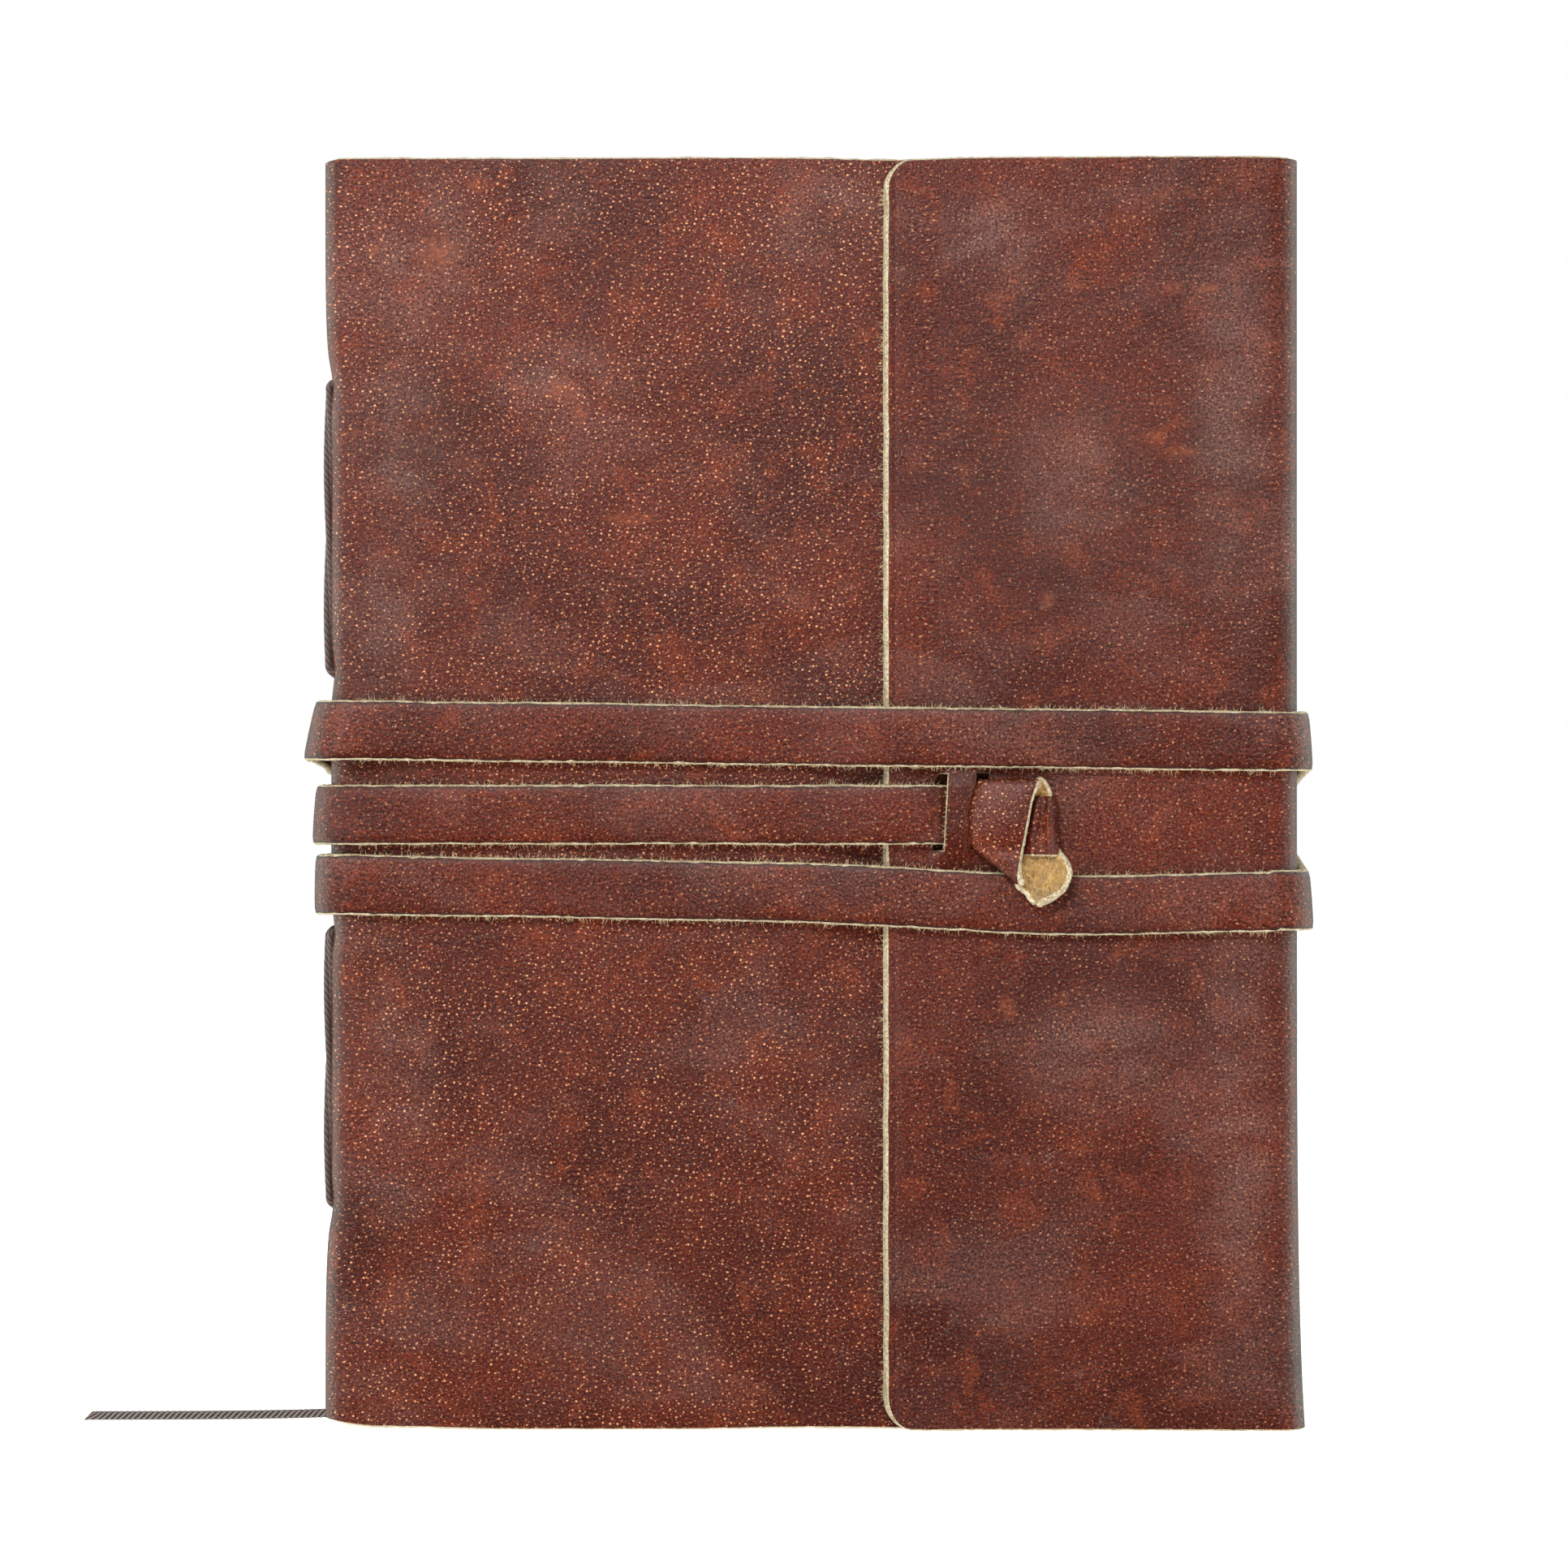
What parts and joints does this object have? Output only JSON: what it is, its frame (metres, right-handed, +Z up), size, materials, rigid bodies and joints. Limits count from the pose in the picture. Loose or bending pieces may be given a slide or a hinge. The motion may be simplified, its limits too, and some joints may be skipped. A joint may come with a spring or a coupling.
{
  "type": "leather notebook cover",
  "caption": "Leather wrap notebook cover with a front flap, a wound strap tied through the flap, sewn booklets and a marker cord.",
  "frame": {"origin": "on the surface that the notebook stands on, under the middle of the wrapped book", "axes": "+Z up the book's height, +X from the spine to the fore-edge, -Y out of the front cover"},
  "size_m": [0.1967, 0.0434, 0.203],
  "materials": {
    "hide": "satin",
    "strap": "satin",
    "pages": "matte",
    "cord": "matte",
    "marker": "matte"
  },
  "bodies": {
    "book": {"back_cover": "hide", "spine": "hide", "booklet_1": "pages", "booklet_2": "pages", "booklet_3": "pages", "booklet_4": "pages", "booklet_5": "pages", "binding_cord_1": "cord", "binding_cord_2": "cord", "binding_cord_3": "cord", "binding_cord_4": "cord", "binding_cord_5": "cord", "marker_held": "marker", "marker": "marker"},
    "front": {"front_cover": "hide"},
    "fore_edge_strip": {"fore_edge": "hide"},
    "flap_panel": {"flap": "hide", "strap_knot": "strap"},
    "strap": {"strap_wraps": "strap"}
  },
  "joints": [
    {"name": "front_cover_fold", "type": "hinge", "parent": "book", "child": "front", "pos_m": [-0.0766, -0.01115, 0.1015], "axis": [0, 0, -1], "range_deg": [0, 180]},
    {"name": "fore_edge_fold", "type": "hinge", "parent": "book", "child": "fore_edge_strip", "pos_m": [0.0766, 0.01705, 0.1015], "axis": [0, 0, 1], "range_deg": [0, 90]},
    {"name": "flap_fold", "type": "hinge", "parent": "fore_edge_strip", "child": "flap_panel", "pos_m": [0.0766, -0.01325, 0.1015], "axis": [0, 0, 1], "range_deg": [0, 90], "deforming": ["flap", "strap_knot"]},
    {"name": "strap_fold", "type": "hinge", "parent": "flap_panel", "child": "strap", "pos_m": [0.0113, -0.0151, 0.1015], "axis": [0, 0, 1], "range_deg": [0, 150], "deforming": ["strap_wraps"]}
  ],
  "couplings": [
    {"joint": "fore_edge_fold", "follows": "front_cover_fold", "ratio": 0.5},
    {"joint": "flap_fold", "follows": "front_cover_fold", "ratio": 0.5},
    {"joint": "strap_fold", "follows": "front_cover_fold", "ratio": 0.8333}
  ]
}
